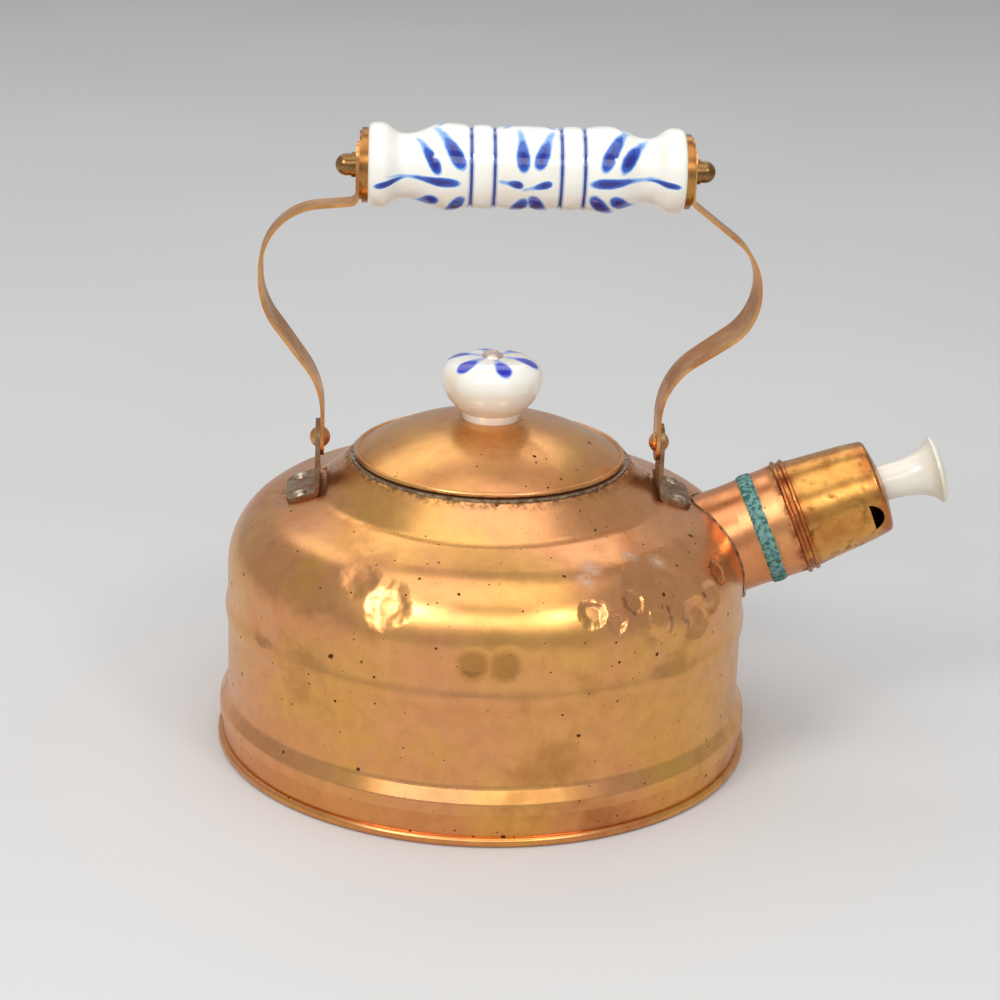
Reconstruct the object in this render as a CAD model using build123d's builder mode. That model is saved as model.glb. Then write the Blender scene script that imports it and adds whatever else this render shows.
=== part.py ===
from build123d import *
import math
import os

# Copper whistling kettle with a swinging bail handle, a lift-off lid and a whistle cap.
# Frame: origin on the table at the centre of the base, +Z up, spout along +X,
# and the handle's grip along X. All sizes are in millimetres.

# Sheet metal and fits
sheet = 1.0
running_gap = 0.05
slip_gap = 0.3
face_gap = 0.1

# Base pan with its skirt and folded lip
lip_radius = 92.0
lip_height = 3.4
skirt_radius = 90.2
skirt_height = 14.0
stamped_ring_radius = 66.0
stamped_ring_depth = 0.5
pan_bend_radius = 1.5

# Body: flared foot, wall with a pressed bead, shoulder, crown and mouth cone
flare_bottom = 11.0
flare_band_top = 14.6
flare_top = 20.0
wall_radius = 88.3
bead_height = 48.5
bead_half_height = 4.5
bead_proud = 1.25
bead_foot_radius = 14.0
bead_crown_radius = 9.5
shoulder_corner_radius = 24.6
crown_angle = 17.5
cone_foot_radius = 58.5
cone_foot_height = 90.4
mouth_height = 100.8
mouth_edge_radius = 47.3
flare_corner_radii = (2.2, 5.0)
cone_foot_fillet = 8.0
mouth_corner_radius = 1.3

# Ring that lines the mouth
sleeve_radius = 44.05
ring_flange_radius = 47.0
ring_thickness = 0.8
sleeve_depth = 9.5

# Lid
lid_radius = 45.8
lid_rim_section = 0.9
lid_dome_height = 12.8
lid_flat_radius = 10.6
lid_thickness = 0.9
collar_depth = 7.5
collar_thickness = 0.8

# Lid knob and its screw
knob_height = 21.4
knob_foot_radius = 9.4
knob_neck_radius = 10.3
knob_neck_height = 2.8
knob_belly_radius = 14.7
knob_belly_height = 7.4
knob_radius = 17.2
knob_widest_height = 14.2
knob_top_radius = 7.5
knob_screw_radius = 2.0
knob_screw_head_radius = 3.7
knob_screw_head_height = 2.2
washer_radius = 6.0
washer_thickness = 1.0
nut_across_flats = 7.0
nut_height = 3.2
nut_chamfer = 0.4

# Ears that carry the handle
ear_inner_x = 57.3
ear_thickness = 1.5
ear_foot_length = 11.4
ear_foot_width = 26.0
ear_width = 12.6
ear_bend_radius = 2.2
pocket_width = 34.0
pocket_sink = 0.5
pocket_margin = 3.0
pivot_height = 107.0
ear_rivet_spacing = 18.4
ear_rivet_share = 0.55
ear_rivet_shank = 1.5
ear_rivet_head = 2.7
rivet_head_height = 1.3
rivet_tail_radius = 2.3
rivet_tail_height = 0.9

# Pivot rivets
pivot_shank_radius = 1.9
pivot_head_radius = 3.3
pivot_head_height = 2.0

# Handle straps
strap_width = 12.5
strap_belly_width = 19.0
strap_belly_height = 145.0
strap_top_width = 10.0
strap_taper_start = 116.0
strap_taper_stop = 186.0
strap_thickness = 1.2
strap_tab_bend = 2.5
tab_rise = 7.5

# Porcelain grip and its fittings
grip_height = 200.0
grip_shift = 9.0
grip_length = 103.0
grip_end_radius = 12.4
grip_flare_radius = 14.1
grip_flare_place = 3.6
grip_neck_radius = 10.6
grip_neck_place = 12.0
grip_bulge_radius = 14.2
grip_bulge_place = 25.5
grip_bulge_end = 32.8
grip_bulge_end_radius = 13.3
groove_width = 0.8
groove_depth = 1.2
grip_ring_width = 6.7
grip_ring_radius = 13.9
grip_crown = 0.5
grip_barrel_radius = 13.7
grip_bore_radius = 3.4
ferrule_radius = 12.2
ferrule_thickness = 2.8
ferrule_step_radius = 11.2
ferrule_step = 0.8
tie_rod_radius = 2.4
acorn_radius = 4.1
acorn_flange = 1.4
acorn_step = 0.5
acorn_length = 6.6

# Spout, measured along its own axis from the point where the axis meets the wall
spout_angle = 22.5
spout_height = 74.0
spout_root_start = -26.0
spout_radius = 18.4
spout_mouth_radius = 19.2
spout_seam_place = 6.6
spout_sheet = 1.0
seam_ring_width = 4.0
seam_ring_proud = 0.6
spout_end = 16.6
neck_length = 10.5

# Whistle cap on the spout's neck
cap_length = 32.0
cap_dome_height = 2.2
cap_lip_radius = 20.2
cap_lip_width = 1.7
cap_second_bead_radius = 19.9
cap_bead_space = 1.1
cap_lip_round = 0.6
cap_bead_root = 0.1
cap_radius = 19.2
cap_end_radius = 16.3
cap_crease_place = 24.5
cap_crease_radius = 17.2
cap_sheet = 0.8
cap_edge_radius = 1.2
disc_thickness = 0.8
disc_hole_radius = 1.6
disc_place = 13.0
disc_space = 4.5
steam_hole_length = 10.6
steam_hole_depth = 4.0
steam_hole_turn = 106.0
steam_hole_setback = 1.9

# Porcelain pull on the whistle cap
pull_length = 19.8
pull_tilt = 6.0
pull_foot_sink = 1.2
pull_base_radius = 6.3
pull_waist_radius = 6.9
pull_end_radius = 11.8
pull_rim_width = 1.6
pull_face_dome = 1.8
pull_screw_radius = 1.6
pull_screw_reach = 11.0
pull_screw_head_radius = 4.2
pull_screw_head_height = 1.4

crown_slope = math.radians(crown_angle)
shoulder_height = cone_foot_height - (wall_radius - cone_foot_radius) * math.tan(crown_slope)
spout_slope = math.radians(spout_angle)

# Share of a rounded edge that its middle point stands in from the corner
edge_share = 1 - math.sqrt(0.5)

os.makedirs("parts", exist_ok=True)


def save(part, name):
    """Name a finished piece and write its file."""
    part.label = name
    export_step(part, f"parts/{name}.step")


def beside(points, radii, distance):
    """Corners and corner radii of the line that runs beside a line, to the left of its travel."""
    corners = [Vector(*point) for point in points]
    runs = [(b - a).normalized() for a, b in zip(corners, corners[1:])]
    sides = [Vector(-run.Y, run.X) for run in runs]
    moved = [corners[0] + sides[0] * distance]
    new_radii = []
    for corner, radius, before, after in zip(corners[1:-1], radii, sides, sides[1:]):
        middle = before + after
        moved.append(corner + middle * (2 * distance / middle.dot(middle)))
        turns_left = before.cross(after).Z > 0
        new_radii.append(max(radius - distance if turns_left else radius + distance, 0))
    moved.append(corners[-1] + sides[-1] * distance)
    return moved, new_radii


def strip(points, radii, thickness):
    """Closed outline of a bent sheet: a line, and the line beside it on its left."""
    other, other_radii = beside(points, radii, thickness)
    rounding = [0, *radii, 0, 0, *reversed(other_radii), 0]
    FilletPolyline(*points, *reversed(other), radius=rounding, close=True)


def filled(points, radii):
    """Closed outline between a line and the upright axis."""
    low, high = points[0], points[-1]
    FilletPolyline(*points, (0, high[1]), (0, low[1]), radius=[0, *radii, 0, 0, 0], close=True)


def dome_middle(radius, height):
    """Radius and height of the point halfway along a dome's arc, from its rim to its top."""
    ball = (radius**2 + height**2) / (2 * height)
    half_turn = math.asin(min(radius / ball, 1)) / 2
    if height > radius:
        half_turn = math.pi / 2 - half_turn
    return ball * math.sin(half_turn), height - ball * (1 - math.cos(half_turn))


def dome(base, radius, height):
    """Half outline of a low dome that stands on a base height, closed along the axis."""
    across, up = dome_middle(radius, height)
    Line((0, base), (radius, base))
    ThreePointArc((radius, base), (across, base + up), (0, base + height))
    Line((0, base + height), (0, base))


# Body outline, from the flared foot up to the mouth
body_line = [
    (skirt_radius + sheet, flare_bottom),
    (skirt_radius + sheet, flare_band_top),
    (wall_radius, flare_top),
    (wall_radius, bead_height - bead_half_height),
    (wall_radius + bead_proud, bead_height),
    (wall_radius, bead_height + bead_half_height),
    (wall_radius, shoulder_height),
    (cone_foot_radius, cone_foot_height),
    (mouth_edge_radius, mouth_height),
    (sleeve_radius, mouth_height),
]
bead_radii = (bead_foot_radius, bead_crown_radius, bead_foot_radius)
top_radii = (shoulder_corner_radius, cone_foot_fillet, mouth_corner_radius)
body_radii = [*flare_corner_radii, *bead_radii, *top_radii]
inside_line, inside_radii = beside(body_line, body_radii, sheet)
inside_line = [(corner.X, corner.Y) for corner in inside_line]

# Flat seat on the crown for each ear, sloping with it
seat_plane = Plane(
    origin=(cone_foot_radius, 0, cone_foot_height - pocket_sink / math.cos(crown_slope)),
    x_dir=(math.cos(crown_slope), 0, -math.sin(crown_slope)),
    z_dir=(math.sin(crown_slope), 0, math.cos(crown_slope)),
)


def seat_point(x):
    """Point of the ear's seat above a given distance from the kettle's axis, as (x, z)."""
    return (x, seat_plane.origin.Z - (x - cone_foot_radius) * math.tan(crown_slope))


ear_corner = seat_point(ear_inner_x)
ear_foot_end = ear_inner_x + ear_foot_length * math.cos(crown_slope)
ear_middle = ear_inner_x + ear_foot_length * ear_rivet_share

# The spout's axis, and a plane through it whose X runs out along the spout
spout_axis_dir = Vector(math.cos(spout_slope), 0, math.sin(spout_slope))
spout_origin = Vector(wall_radius, 0, spout_height)
spout_axis = Axis(spout_origin, spout_axis_dir)
spout_side = Plane(origin=spout_origin, x_dir=spout_axis_dir, z_dir=(0, -1, 0))


def across_spout(distance):
    """Plane square to the spout's axis, its X pointing up and back, at a distance along it."""
    return Plane(
        origin=spout_origin + spout_axis_dir * distance,
        x_dir=(-math.sin(spout_slope), 0, math.cos(spout_slope)),
        z_dir=spout_axis_dir,
    )


def spout_width(distance):
    """Outer radius of the spout's tube, which widens a little from the wall to its mouth."""
    share = max(distance, 0) / spout_end
    return spout_radius + (spout_mouth_radius - spout_radius) * share


def seat_pocket(depth, extra):
    """Block that presses the flat ear seat into the shoulder, for the +X side."""
    reach = wall_radius - cone_foot_radius
    inner = (ear_inner_x - pocket_margin - extra - cone_foot_radius) / math.cos(crown_slope)
    corner = pocket_width / 4
    with BuildPart() as block:
        with BuildSketch(seat_plane.offset(-depth)):
            with Locations(((inner + reach) / 2, 0)):
                RectangleRounded(reach - inner, pocket_width + 2 * extra, corner)
        extrude(amount=mouth_height - cone_foot_height + sheet)
    return block.part


ear_seat = seat_pocket(0, 0)
ear_seat_inside = seat_pocket(sheet, sheet)

# Space enclosed by the sheet, which is cut from the solid body to leave its wall
with BuildPart() as body_space:
    with BuildSketch(Plane.XZ):
        with BuildLine():
            filled(inside_line, inside_radii)
        make_face()
    revolve(axis=Axis.Z)
    add(ear_seat_inside, mode=Mode.SUBTRACT)
    add(mirror(ear_seat_inside, about=Plane.YZ), mode=Mode.SUBTRACT)

# The whole body as a solid, which also trims the spout's root
with BuildPart() as body_solid:
    with BuildSketch(Plane.XZ):
        with BuildLine():
            filled(body_line, body_radii)
        make_face()
    revolve(axis=Axis.Z)
    add(ear_seat, mode=Mode.SUBTRACT)
    add(mirror(ear_seat, about=Plane.YZ), mode=Mode.SUBTRACT)

ear_rivet_places = [(ear_middle - cone_foot_radius, side * ear_rivet_spacing / 2) for side in (-1, 1)]
ear_rivet_places = [(x / math.cos(crown_slope), y) for x, y in ear_rivet_places]

with BuildPart() as body_shell:
    add(body_solid.part)
    add(body_space.part, mode=Mode.SUBTRACT)
    with BuildSketch(Plane.XY.offset(mouth_height + sheet)):
        Circle(sleeve_radius)
    extrude(amount=-4 * sheet, mode=Mode.SUBTRACT)
    with BuildSketch(across_spout(spout_root_start)):
        Circle(spout_radius - spout_sheet)
    extrude(amount=spout_end - spout_root_start, mode=Mode.SUBTRACT)
    with BuildSketch(seat_plane.offset(sheet)):
        with Locations(*ear_rivet_places):
            Circle(ear_rivet_shank)
    rivet_holes = extrude(amount=-3 * sheet, mode=Mode.PRIVATE)
    add(rivet_holes, mode=Mode.SUBTRACT)
    add(mirror(rivet_holes, about=Plane.YZ), mode=Mode.SUBTRACT)
save(body_shell.part, "body_shell")

# Base pan: flat bottom with a stamped ring, skirt up inside the flare, folded lip
with BuildPart() as base_pan:
    with BuildSketch(Plane.XZ):
        with BuildLine():
            strip([(0, 0), (skirt_radius, 0), (skirt_radius, skirt_height)], [pan_bend_radius], sheet)
        make_face()
        with BuildLine():
            Polyline((skirt_radius - sheet / 2, 0), (lip_radius - lip_height / 2, 0))
            Polyline((skirt_radius - sheet / 2, 0), (skirt_radius - sheet / 2, lip_height))
            Line((skirt_radius - sheet / 2, lip_height), (lip_radius - lip_height / 2, lip_height))
            ThreePointArc(
                (lip_radius - lip_height / 2, lip_height),
                (lip_radius, lip_height / 2),
                (lip_radius - lip_height / 2, 0),
            )
        make_face()
    revolve(axis=Axis.Z)
    with BuildSketch(Plane.XY):
        Circle(stamped_ring_radius + 2 * sheet)
        Circle(stamped_ring_radius - 2 * sheet, mode=Mode.SUBTRACT)
    extrude(amount=stamped_ring_depth, mode=Mode.SUBTRACT)
save(base_pan.part, "base_pan")

# Ring lining the mouth: flange on the body's edge, sleeve down inside it
ring_top = mouth_height + ring_thickness
with BuildPart() as mouth_ring:
    with BuildSketch(Plane.XZ):
        with BuildLine():
            strip(
                [
                    (sleeve_radius - ring_thickness, mouth_height - sleeve_depth),
                    (sleeve_radius - ring_thickness, ring_top),
                    (ring_flange_radius, ring_top),
                ],
                [ring_thickness],
                -ring_thickness,
            )
        make_face()
    revolve(axis=Axis.Z)
save(mouth_ring.part, "mouth_ring")

# Lid: shallow dome with a flat seat for the knob and a rolled rim
lid_bottom = ring_top + face_gap
lid_edge_height = lid_bottom + lid_rim_section
dome_base = lid_radius - lid_rim_section
dome_radius = (dome_base**2 + lid_dome_height**2) / (2 * lid_dome_height)
dome_centre = lid_edge_height + lid_dome_height - dome_radius
flat_height = dome_centre + math.sqrt(dome_radius**2 - lid_flat_radius**2)


def dome_outline(inset):
    """Closed outline under the lid's dome and its flat seat, at a depth below its surface."""
    radius = dome_radius - inset
    seat = flat_height - inset
    edge = lid_edge_height
    reach = math.sqrt(radius**2 - (edge - dome_centre) ** 2)
    seat_reach = math.sqrt(radius**2 - (seat - dome_centre) ** 2)
    half_turn = (math.atan2(reach, edge - dome_centre) + math.atan2(seat_reach, seat - dome_centre)) / 2
    middle = (radius * math.sin(half_turn), dome_centre + radius * math.cos(half_turn))
    ThreePointArc((reach, edge), middle, (seat_reach, seat))
    Polyline((seat_reach, seat), (0, seat), (0, lid_bottom), (reach, lid_bottom), (reach, edge))


with BuildPart() as under_lid:
    with BuildSketch(Plane.XZ):
        with BuildLine():
            dome_outline(lid_thickness)
        make_face()
    revolve(axis=Axis.Z)

with BuildPart() as lid_shell:
    with BuildSketch(Plane.XZ):
        with BuildLine():
            dome_outline(0)
        make_face()
        with Locations((0, lid_bottom)):
            Rectangle(2 * lid_radius, 2 * lid_rim_section, mode=Mode.SUBTRACT)
        with Locations((lid_radius - lid_rim_section, lid_edge_height)):
            Circle(lid_rim_section)
    revolve(axis=Axis.Z)
    add(under_lid.part, mode=Mode.SUBTRACT)
    Hole(knob_screw_radius)
save(lid_shell.part, "lid_shell")

# Collar under the lid, which drops into the mouth's sleeve
collar_radius = sleeve_radius - ring_thickness - slip_gap
with BuildPart() as lid_collar:
    with BuildSketch(Plane.XY.offset(lid_bottom)):
        Circle(collar_radius)
        Circle(collar_radius - collar_thickness, mode=Mode.SUBTRACT)
    extrude(amount=-collar_depth)
    with BuildSketch(Plane.XY.offset(lid_bottom)):
        Circle(collar_radius)
        Circle(collar_radius - collar_thickness, mode=Mode.SUBTRACT)
    upper = extrude(amount=lid_dome_height, mode=Mode.PRIVATE)
    add(upper & under_lid.part)
save(lid_collar.part, "lid_collar")

# Knob: squat porcelain bulb on a short foot
knob_base = flat_height
knob_top = knob_base + knob_height
with BuildPart() as lid_knob:
    with BuildSketch(Plane.XZ):
        with BuildLine():
            Polyline(
                (knob_screw_radius, knob_base),
                (knob_foot_radius, knob_base),
                (knob_neck_radius, knob_base + knob_neck_height),
            )
            neck = (knob_neck_radius, knob_base + knob_neck_height)
            belly = (knob_belly_radius, knob_base + knob_belly_height)
            widest = (knob_radius, knob_base + knob_widest_height)
            crown = (knob_top_radius, knob_top)
            Spline(neck, belly, widest, crown, tangents=[(1, 0.95), (-1, 0.05)])
            Polyline(crown, (knob_screw_radius, knob_top), (knob_screw_radius, knob_base))
        make_face()
    revolve(axis=Axis.Z)
save(lid_knob.part, "lid_knob")

washer_top = flat_height - lid_thickness
nut_top = washer_top - washer_thickness
with BuildPart() as knob_washer:
    with BuildSketch(Plane.XY.offset(washer_top)):
        Circle(washer_radius)
        Circle(knob_screw_radius, mode=Mode.SUBTRACT)
    extrude(amount=-washer_thickness)
save(knob_washer.part, "knob_washer")

with BuildPart() as knob_nut:
    with BuildSketch(Plane.XY.offset(nut_top)):
        RegularPolygon(nut_across_flats / 2, 6, major_radius=False)
        Circle(knob_screw_radius, mode=Mode.SUBTRACT)
    extrude(amount=-nut_height)
    chamfer(knob_nut.faces().sort_by(Axis.Z)[0].outer_wire().edges(), nut_chamfer)
save(knob_nut.part, "knob_nut")

# Screw with a low domed head, down through knob, lid, washer and nut
screw_end = nut_top - nut_height - knob_screw_radius / 2
with BuildPart() as knob_screw:
    with BuildSketch(Plane.XY.offset(screw_end)):
        Circle(knob_screw_radius)
    extrude(amount=knob_top - screw_end)
    with BuildSketch(Plane.XZ):
        with BuildLine():
            dome(knob_top, knob_screw_head_radius, knob_screw_head_height)
        make_face()
    revolve(axis=Axis.Z)
save(knob_screw.part, "knob_screw")

# Ears: a stamped bracket with a wide riveted foot and a narrower rounded upright
with BuildPart() as right_ear:
    with BuildSketch(Plane.XZ):
        with BuildLine():
            strip(
                [
                    seat_point(ear_foot_end),
                    ear_corner,
                    (ear_inner_x, pivot_height + ear_width / 2),
                ],
                [ear_bend_radius],
                -ear_thickness,
            )
        make_face()
    extrude(amount=ear_foot_width / 2, both=True)
    foot_top = ear_corner[1] + ear_thickness + ear_bend_radius / 2
    with BuildSketch(Plane.YZ):
        with BuildLine():
            low = ear_corner[1] - ear_foot_length
            Polyline(
                (-ear_foot_width / 2, low),
                (ear_foot_width / 2, low),
                (ear_foot_width / 2, foot_top),
                (ear_width / 2, foot_top + ear_bend_radius),
                (ear_width / 2, pivot_height),
            )
            ThreePointArc(
                (ear_width / 2, pivot_height),
                (0, pivot_height + ear_width / 2),
                (-ear_width / 2, pivot_height),
            )
            Polyline(
                (-ear_width / 2, pivot_height),
                (-ear_width / 2, foot_top + ear_bend_radius),
                (-ear_foot_width / 2, foot_top),
                (-ear_foot_width / 2, low),
            )
        make_face()
    extrude(amount=wall_radius, mode=Mode.INTERSECT)
    foot_corners = right_ear.edges().filter_by(
        lambda edge: abs(edge.tangent_at(0).dot(seat_plane.z_dir)) > 0.99
    )
    fillet(foot_corners.sort_by(Axis.X)[-2:], ear_foot_width / 5)
    with BuildSketch(seat_plane.offset(-sheet)):
        with Locations(*ear_rivet_places):
            Circle(ear_rivet_shank)
    extrude(amount=3 * ear_thickness, mode=Mode.SUBTRACT)
    with BuildSketch(Plane.YZ.offset(ear_inner_x - ear_thickness)):
        with Locations((0, pivot_height)):
            Circle(pivot_shank_radius)
    extrude(amount=3 * ear_thickness, mode=Mode.SUBTRACT)
save(right_ear.part, "right_ear")

with BuildPart() as left_ear:
    add(mirror(right_ear.part, about=Plane.YZ))
save(left_ear.part, "left_ear")


# Rivets that hold each ear's foot to the shoulder: head above, tail beaten under the sheet
with BuildPart() as one_ear_rivet:
    with BuildSketch(Plane.XY.offset(-sheet)):
        Circle(ear_rivet_shank)
    extrude(amount=sheet + ear_thickness)
    with BuildSketch(Plane.XY.offset(-sheet)):
        Circle(rivet_tail_radius)
    extrude(amount=-rivet_tail_height)
    with BuildSketch(Plane.XZ):
        with BuildLine():
            dome(ear_thickness, ear_rivet_head, rivet_head_height)
        make_face()
    revolve(axis=Axis.Z)

with BuildPart() as right_ear_rivets:
    with Locations(seat_plane):
        with Locations(*ear_rivet_places):
            add(one_ear_rivet.part)
save(right_ear_rivets.part, "right_ear_rivets")
save(mirror(right_ear_rivets.part, about=Plane.YZ), "left_ear_rivets")

# Pivot rivets: strap inside, ear outside, a domed head at each end
strap_outer_x = ear_inner_x - face_gap
strap_inner_x = strap_outer_x - strap_thickness
shank_start = strap_inner_x - face_gap
shank_stop = ear_inner_x + ear_thickness
head_across, head_up = dome_middle(pivot_head_radius, pivot_head_height)
with BuildPart() as right_pivot_rivet:
    with BuildSketch(Plane.YZ.offset(shank_start)):
        with Locations((0, pivot_height)):
            Circle(pivot_shank_radius)
    extrude(amount=shank_stop - shank_start)
    for face, out in ((shank_start, -1), (shank_stop, 1)):
        with BuildSketch(Plane.XZ):
            with BuildLine():
                Line((face, pivot_height), (face, pivot_height + pivot_head_radius))
                ThreePointArc(
                    (face, pivot_height + pivot_head_radius),
                    (face + out * head_up, pivot_height + head_across),
                    (face + out * pivot_head_height, pivot_height),
                )
                Line((face + out * pivot_head_height, pivot_height), (face, pivot_height))
            make_face()
        revolve(axis=Axis((0, 0, pivot_height), (1, 0, 0)))
save(right_pivot_rivet.part, "right_pivot_rivet")
save(mirror(right_pivot_rivet.part, about=Plane.YZ), "left_pivot_rivet")

# Handle straps. Each runs down from its tab on the tie rod, bows out and curves in to its
# pivot, widest at its belly. The two are bent by hand and differ: the grip stands a little
# towards the spout.
strap_pivot_x = strap_outer_x - strap_thickness / 2
strap_bottom = pivot_height - strap_width / 2
tab_top = grip_height + tab_rise

# Outline of a strap as seen along the grip, round at both ends
with BuildSketch(Plane.YZ) as strap_outline:
    with BuildLine():
        pivot_half = strap_width / 2
        tab_half = strap_top_width / 2
        ThreePointArc((-pivot_half, pivot_height), (0, strap_bottom), (pivot_half, pivot_height))
        for hand in (-1, 1):
            Line((hand * pivot_half, pivot_height), (hand * pivot_half, strap_taper_start))
            Spline(
                (hand * pivot_half, strap_taper_start),
                (hand * strap_belly_width / 2, strap_belly_height),
                (hand * tab_half, strap_taper_stop),
                tangents=[(0, 1), (0, 1)],
            )
            Line((hand * tab_half, strap_taper_stop), (hand * tab_half, tab_top - tab_half))
        ThreePointArc((-tab_half, tab_top - tab_half), (0, tab_top), (tab_half, tab_top - tab_half))
    make_face()


def tab_distance(side):
    """Distance from the kettle's axis to the middle of a strap's tab."""
    return grip_length / 2 + ferrule_thickness + strap_thickness / 2 + side * grip_shift


strap_forms = {
    "right_strap": {
        "side": 1,
        "tab_drop": 10.0,
        "shoulder": (23.6, 28.2, 20.4),
        "bow": (23.6, 49.5, 20.4),
        "hollow": (22.1, 25.5),
    },
    "left_strap": {
        "side": -1,
        "tab_drop": 12.1,
        "shoulder": (31.4, 15.1, 21.0),
        "bow": (31.4, 45.6, 27.0),
        "hollow": (19.0, 29.0),
    },
}


def make_strap(form):
    """Strap of one side, built on the +X side and mirrored when it belongs to the other."""
    side = form["side"]
    tab = tab_distance(side)
    shoulder_out, shoulder_drop, shoulder_radius = form["shoulder"]
    bow_out, bow_drop, bow_radius = form["bow"]
    hollow_rise, hollow_radius = form["hollow"]
    line = [
        (tab, tab_top),
        (tab, grip_height - form["tab_drop"]),
        (tab + shoulder_out, grip_height - shoulder_drop),
        (tab + bow_out, grip_height - bow_drop),
        (strap_pivot_x, pivot_height + hollow_rise),
        (strap_pivot_x, strap_bottom),
    ]
    radii = [strap_tab_bend, shoulder_radius, bow_radius, hollow_radius]
    edge, edge_radii = beside(line, radii, -strap_thickness / 2)
    edge = [(corner.X, corner.Y) for corner in edge]
    with BuildPart() as strap:
        with BuildSketch(Plane.XZ):
            with BuildLine():
                strip(edge, edge_radii, strap_thickness)
            make_face()
        extrude(amount=strap_belly_width / 2, both=True)
        extrude(strap_outline.sketch, amount=2 * grip_length, dir=(1, 0, 0), mode=Mode.INTERSECT)
        with BuildSketch(Plane.YZ.offset(strap_inner_x - strap_thickness)):
            with Locations((0, pivot_height)):
                Circle(pivot_shank_radius + running_gap)
        extrude(amount=3 * strap_thickness, mode=Mode.SUBTRACT)
        with BuildSketch(Plane.YZ.offset(tab - strap_thickness)):
            with Locations((0, grip_height)):
                Circle(tie_rod_radius)
        extrude(amount=2 * strap_thickness, mode=Mode.SUBTRACT)
    return strap.part if side == 1 else mirror(strap.part, about=Plane.YZ)


for strap_name, strap_form in strap_forms.items():
    save(make_strap(strap_form), strap_name)

# Porcelain grip, turned about its own axis, the same at both ends
grip_axis = Axis((0, 0, grip_height), (1, 0, 0))
grip_plane = Plane(origin=(grip_shift, 0, grip_height), x_dir=(1, 0, 0), z_dir=(0, -1, 0))
half_grip = grip_length / 2
ring_start = grip_bulge_end + groove_width
ring_stop = ring_start + grip_ring_width
barrel_start = ring_stop + groove_width

# Points of the wavy end of the grip, as (distance from its end, radius), and the direction there
grip_waves = [
    ((0, grip_end_radius), (0.2, 1)),
    ((grip_flare_place, grip_flare_radius), (1, 0)),
    ((grip_neck_place, grip_neck_radius), (1, 0)),
    ((grip_bulge_place, grip_bulge_radius), (1, 0)),
    ((grip_bulge_end, grip_bulge_end_radius), (1, -0.35)),
]

with BuildPart() as grip:
    with BuildSketch(grip_plane):
        with BuildLine():
            Line((-half_grip, grip_bore_radius), (-half_grip, grip_end_radius))
            for (before, run), (after, next_run) in zip(grip_waves, grip_waves[1:]):
                Spline(
                    (before[0] - half_grip, before[1]),
                    (after[0] - half_grip, after[1]),
                    tangents=[run, next_run],
                )
            Polyline(
                (-half_grip + grip_bulge_end, grip_bulge_end_radius),
                (-half_grip + grip_bulge_end, grip_ring_radius - groove_depth),
                (-half_grip + ring_start, grip_ring_radius - groove_depth),
                (-half_grip + ring_start, grip_ring_radius - grip_crown),
            )
            ThreePointArc(
                (-half_grip + ring_start, grip_ring_radius - grip_crown),
                (-half_grip + (ring_start + ring_stop) / 2, grip_ring_radius),
                (-half_grip + ring_stop, grip_ring_radius - grip_crown),
            )
            Polyline(
                (-half_grip + ring_stop, grip_ring_radius - grip_crown),
                (-half_grip + ring_stop, grip_ring_radius - groove_depth),
                (-half_grip + barrel_start, grip_ring_radius - groove_depth),
                (-half_grip + barrel_start, grip_barrel_radius - grip_crown),
            )
            ThreePointArc(
                (-half_grip + barrel_start, grip_barrel_radius - grip_crown),
                ((barrel_start - half_grip) / 2, grip_barrel_radius - grip_crown / 4),
                (0, grip_barrel_radius),
            )
            Polyline((0, grip_barrel_radius), (0, grip_bore_radius), (-half_grip, grip_bore_radius))
        make_face()
        mirror(about=Plane.YZ)
    revolve(axis=grip_axis)
save(grip.part, "grip")

# Brass ferrule discs, tie rod and acorn nuts
for side, hand in ((1, "right"), (-1, "left")):
    face = grip_shift + side * half_grip
    out = (side, 0, 0)
    with BuildPart() as ferrule:
        with BuildSketch(Plane(origin=(face, 0, grip_height), z_dir=out)):
            Circle(ferrule_radius)
            Circle(tie_rod_radius, mode=Mode.SUBTRACT)
        extrude(amount=ferrule_thickness - ferrule_step)
        with BuildSketch(Plane(origin=(face, 0, grip_height), z_dir=out)):
            Circle(ferrule_step_radius)
            Circle(tie_rod_radius, mode=Mode.SUBTRACT)
        extrude(amount=ferrule_thickness)
    save(ferrule.part, f"{hand}_ferrule")

    nut_face = face + side * (ferrule_thickness + strap_thickness)
    with BuildPart() as acorn_nut:
        with BuildSketch(Plane(origin=(nut_face, 0, grip_height), z_dir=out)):
            Circle(acorn_radius)
        extrude(amount=acorn_flange)
        with BuildSketch(Plane(origin=(nut_face, 0, grip_height), x_dir=out, z_dir=(0, -side, 0))):
            with BuildLine():
                ball = acorn_radius - acorn_step
                slope = math.sqrt(0.5)
                Polyline((0, 0), (0, ball), (acorn_length - ball, ball))
                ThreePointArc(
                    (acorn_length - ball, ball),
                    (acorn_length - ball + ball * slope, ball * slope),
                    (acorn_length, 0),
                )
                Line((acorn_length, 0), (0, 0))
            make_face()
        revolve(axis=grip_axis)
        with BuildSketch(Plane(origin=(nut_face, 0, grip_height), z_dir=out)):
            Circle(tie_rod_radius)
        extrude(amount=acorn_length / 2, mode=Mode.SUBTRACT)
    save(acorn_nut.part, f"{hand}_acorn_nut")

rod_half = half_grip + ferrule_thickness + strap_thickness + acorn_length / 2
with BuildPart() as tie_rod:
    with BuildSketch(Plane.YZ.offset(grip_shift - rod_half)):
        with Locations((0, grip_height)):
            Circle(tie_rod_radius)
    extrude(amount=2 * rod_half)
save(tie_rod.part, "tie_rod")


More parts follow.
